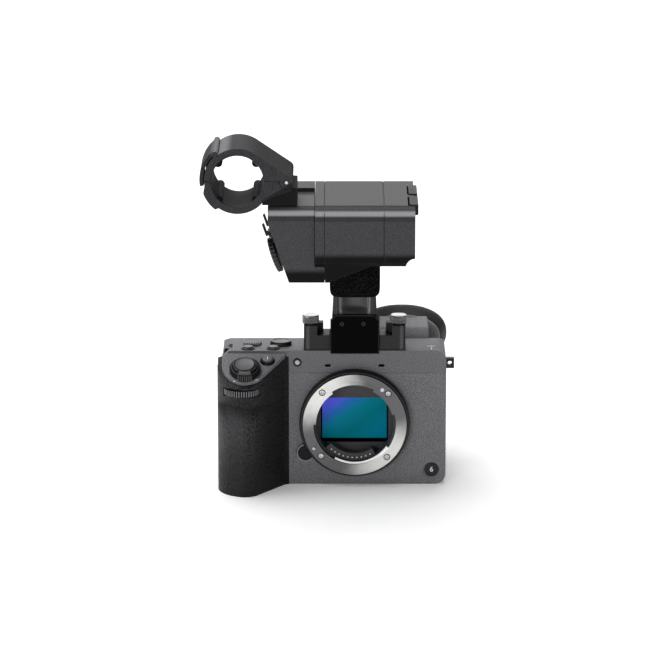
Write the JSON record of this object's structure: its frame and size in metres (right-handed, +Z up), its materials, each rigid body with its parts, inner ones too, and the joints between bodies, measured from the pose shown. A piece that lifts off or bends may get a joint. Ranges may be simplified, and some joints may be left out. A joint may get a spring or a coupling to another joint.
{
  "type": "cinema camera",
  "caption": "Compact boxy cinema camera body with open lens mount, side grip, tilting viewfinder and a top handle carrying an audio unit and microphone clamp.",
  "frame": {"origin": "mouth of the tripod socket in the base, under the optical axis, in the image plane", "axes": "+Z up, the lens looks along -Y, +X is the operator's left hand and the viewer's right"},
  "size_m": [0.1403, 0.1522, 0.2027],
  "materials": {
    "body_paint": "fine textured dark grey paint",
    "top_paint": "satin dark grey paint",
    "black_plastic": "matt black",
    "grip_skin": "pebbled",
    "soft_rubber": "soft matt",
    "black_metal": "anodised black",
    "audio_plastic": "fine moulded grain",
    "clamp_plastic": "fine moulded grain",
    "mount_steel": "turned",
    "bright_steel": "turned, bright chamfer",
    "gilt": "gold plated",
    "key_plastic": "satin",
    "sensor_glass": "coated glass stack over the image area",
    "eye_glass": "coated",
    "board": "solder resist",
    "battery_case": "smooth",
    "stage_alloy": "machined"
  },
  "bodies": {
    "camera_body": {"front_casing": "body_paint", "rear_casing": "body_paint", "top_cover": "top_paint", "bottom_plate": "black_plastic", "tripod_socket": "bright_steel", "grip_shell": "black_plastic", "grip_rubber": "grip_skin", "grip_deck": "top_paint", "battery": "battery_case", "lens_mount_ring": "mount_steel", "mount_screws": "mount_steel", "mount_surround": "black_metal", "throat_frame": "black_plastic", "contact_block": "black_plastic", "contact_pins": "gilt", "main_board": "board", "fan_housing": "black_plastic", "strap_lugs": "black_metal", "accessory_shoe": "bright_steel", "handle_base": "black_metal", "handle_neck": "black_metal", "handle_grip": "soft_rubber", "audio_control_case": "audio_plastic", "audio_socket_case": "audio_plastic", "audio_inputs": "black_plastic", "mic_clamp_base": "clamp_plastic"},
    "battery_door": {"battery_door": "black_plastic"},
    "battery_latch": {"battery_latch": "black_plastic"},
    "front_dial": {"front_dial": "black_metal"},
    "shutter": {"shutter_button": "key_plastic"},
    "zoom_lever": {"zoom_lever": "black_metal"},
    "button_one": {"button_one": "key_plastic"},
    "top_key_left": {"top_key_left": "key_plastic"},
    "top_key_right": {"top_key_right": "key_plastic"},
    "mode_dial": {"mode_dial": "black_metal"},
    "rear_dial": {"rear_dial": "black_metal"},
    "lens_release": {"lens_release_button": "black_metal"},
    "lens_lock": {"lens_lock_pin": "mount_steel"},
    "sensor_stage": {"sensor_stage": "stage_alloy"},
    "sensor": {"image_sensor": "sensor_glass"},
    "fan_rotor": {"fan_rotor": "black_plastic"},
    "terminal_door": {"terminal_door": "body_paint"},
    "card_door": {"card_door": "body_paint"},
    "button_six": {"front_button_six": "key_plastic"},
    "control_wheel": {"control_wheel": "black_metal"},
    "viewfinder": {"evf_housing": "black_plastic", "eyepiece_lens": "eye_glass", "eyecup": "soft_rubber"},
    "screen": {"screen_arm": "black_plastic", "screen_panel": "black_plastic"},
    "thumb_screw_left": {"thumb_screw_left": "bright_steel"},
    "thumb_screw_right": {"thumb_screw_right": "bright_steel"},
    "release_tab_front": {"release_tab_front": "black_plastic"},
    "release_tab_rear": {"release_tab_rear": "black_plastic"},
    "audio_dial_front": {"audio_dial_front": "black_plastic"},
    "audio_dial_rear": {"audio_dial_rear": "black_plastic"},
    "audio_switch_front": {"audio_switch_front": "black_plastic"},
    "audio_switch_rear": {"audio_switch_rear": "black_plastic"},
    "mic_arch": {"mic_clamp_arch": "clamp_plastic"},
    "mic_lever": {"mic_clamp_lever": "clamp_plastic"}
  },
  "joints": [
    {"name": "shutter_press", "type": "slide", "parent": "camera_body", "child": "shutter", "axis": [0, 0.4131, -0.9107], "range_m": [0, 0.0012], "stiffness_N_per_m": 400, "springref_m": -0.0008},
    {"name": "zoom_turn", "type": "hinge", "parent": "camera_body", "child": "zoom_lever", "pos_m": [-0.061, -0.0262, 0.07006], "axis": [0, -0.4131, 0.9107], "range_deg": [-20, 20], "stiffness_Nm_per_rad": 0.004},
    {"name": "button_one_press", "type": "slide", "parent": "camera_body", "child": "button_one", "axis": [0, 0.4131, -0.9107], "range_m": [0, 0.0008], "stiffness_N_per_m": 250, "springref_m": -0.0008},
    {"name": "front_dial_turn", "type": "hinge", "parent": "camera_body", "child": "front_dial", "pos_m": [-0.0627, -0.0289, 0.0575], "axis": [0, 0, 1], "continuous": true},
    {"name": "top_key_left_press", "type": "slide", "parent": "camera_body", "child": "top_key_left", "axis": [0, 0, -1], "range_m": [0, 0.0007], "stiffness_N_per_m": 250, "springref_m": -0.0008},
    {"name": "top_key_right_press", "type": "slide", "parent": "camera_body", "child": "top_key_right", "axis": [0, 0, -1], "range_m": [0, 0.0007], "stiffness_N_per_m": 250, "springref_m": -0.0008},
    {"name": "mode_dial_turn", "type": "hinge", "parent": "camera_body", "child": "mode_dial", "pos_m": [-0.0414, 0.0017, 0.0778], "axis": [0, 0, 1], "continuous": true},
    {"name": "rear_dial_turn", "type": "hinge", "parent": "camera_body", "child": "rear_dial", "pos_m": [-0.0575, 0.002, 0.0778], "axis": [0, 0, 1], "continuous": true},
    {"name": "lens_release_press", "type": "slide", "parent": "camera_body", "child": "lens_release", "axis": [0, 1, 0], "range_m": [0, 0.002], "stiffness_N_per_m": 400, "springref_m": -0.0008},
    {"name": "lens_lock_draw", "type": "slide", "parent": "camera_body", "child": "lens_lock", "axis": [0, 1, 0], "range_m": [0, 0.002], "stiffness_N_per_m": 250, "springref_m": -0.0008},
    {"name": "stage_shift", "type": "slide", "parent": "camera_body", "child": "sensor_stage", "axis": [1, 0, 0], "range_m": [-0.0008, 0.0008], "stiffness_N_per_m": 300},
    {"name": "sensor_shift", "type": "slide", "parent": "sensor_stage", "child": "sensor", "axis": [0, 0, 1], "range_m": [-0.0008, 0.0008], "stiffness_N_per_m": 400, "springref_m": 0.0002},
    {"name": "fan_turn", "type": "hinge", "parent": "camera_body", "child": "fan_rotor", "pos_m": [0.031, 0.0289, 0.03], "axis": [0, 1, 0], "continuous": true},
    {"name": "battery_door_swing", "type": "hinge", "parent": "camera_body", "child": "battery_door", "pos_m": [-0.0508, 0, 0.0009], "axis": [0, -1, 0], "range_deg": [0, 90]},
    {"name": "battery_latch_slide", "type": "slide", "parent": "battery_door", "child": "battery_latch", "axis": [0, 1, 0], "range_m": [0, 0.00225], "stiffness_N_per_m": 250, "springref_m": -0.0008},
    {"name": "terminal_door_swing", "type": "hinge", "parent": "camera_body", "child": "terminal_door", "pos_m": [0.05045, -0.00585, 0.012], "axis": [0, 0, -1], "range_deg": [0, 90]},
    {"name": "card_door_swing", "type": "hinge", "parent": "camera_body", "child": "card_door", "pos_m": [-0.07415, 0.03435, 0.014], "axis": [0, 0, -1], "range_deg": [0, 90]},
    {"name": "button_six_press", "type": "slide", "parent": "camera_body", "child": "button_six", "axis": [0, 1, 0], "range_m": [0, 0.0008], "stiffness_N_per_m": 250, "springref_m": -0.0008},
    {"name": "control_wheel_turn", "type": "hinge", "parent": "camera_body", "child": "control_wheel", "pos_m": [-0.0575, 0.038, 0.03], "axis": [0, 1, 0], "continuous": true},
    {"name": "viewfinder_tilt", "type": "hinge", "parent": "camera_body", "child": "viewfinder", "pos_m": [0.0282, 0.027, 0.0703], "axis": [1, 0, 0], "range_deg": [0, 90]},
    {"name": "screen_swing", "type": "hinge", "parent": "camera_body", "child": "screen", "pos_m": [0.0457, 0.0417, 0.014], "axis": [0, 0, -1], "range_deg": [0, 176]},
    {"name": "thumb_screw_left_turn", "type": "hinge", "parent": "camera_body", "child": "thumb_screw_left", "pos_m": [-0.0246, -0.006, 0.0778], "axis": [0, 0, 1], "continuous": true},
    {"name": "thumb_screw_right_turn", "type": "hinge", "parent": "camera_body", "child": "thumb_screw_right", "pos_m": [0.0246, -0.006, 0.0778], "axis": [0, 0, 1], "continuous": true},
    {"name": "release_tab_front_press", "type": "slide", "parent": "camera_body", "child": "release_tab_front", "axis": [-1, 0, 0], "range_m": [0, 0.0007], "stiffness_N_per_m": 250, "springref_m": -0.0008},
    {"name": "release_tab_rear_press", "type": "slide", "parent": "camera_body", "child": "release_tab_rear", "axis": [-1, 0, 0], "range_m": [0, 0.0007], "stiffness_N_per_m": 250, "springref_m": -0.0008},
    {"name": "audio_dial_front_turn", "type": "hinge", "parent": "camera_body", "child": "audio_dial_front", "pos_m": [-0.04068, -0.043, 0.14155], "axis": [-0.9444, 0, -0.3289], "range_deg": [-150, 150]},
    {"name": "audio_dial_rear_turn", "type": "hinge", "parent": "camera_body", "child": "audio_dial_rear", "pos_m": [-0.04068, -0.019, 0.14155], "axis": [-0.9444, 0, -0.3289], "range_deg": [-150, 150]},
    {"name": "audio_switch_front_slide", "type": "slide", "parent": "camera_body", "child": "audio_switch_front", "axis": [0, 1, 0], "range_m": [0, 0.003]},
    {"name": "audio_switch_rear_slide", "type": "slide", "parent": "camera_body", "child": "audio_switch_rear", "axis": [0, 1, 0], "range_m": [0, 0.003]},
    {"name": "mic_arch_swing", "type": "hinge", "parent": "camera_body", "child": "mic_arch", "pos_m": [-0.0372, 0, 0.1842], "axis": [0, 1, 0], "range_deg": [0, 75]},
    {"name": "mic_lever_swing", "type": "hinge", "parent": "mic_arch", "child": "mic_lever", "pos_m": [-0.07566, 0, 0.19957], "axis": [0, 1, 0], "range_deg": [0, 60]}
  ],
  "couplings": [
    {"joint": "lens_lock_draw", "follows": "lens_release_press", "ratio": 1}
  ]
}
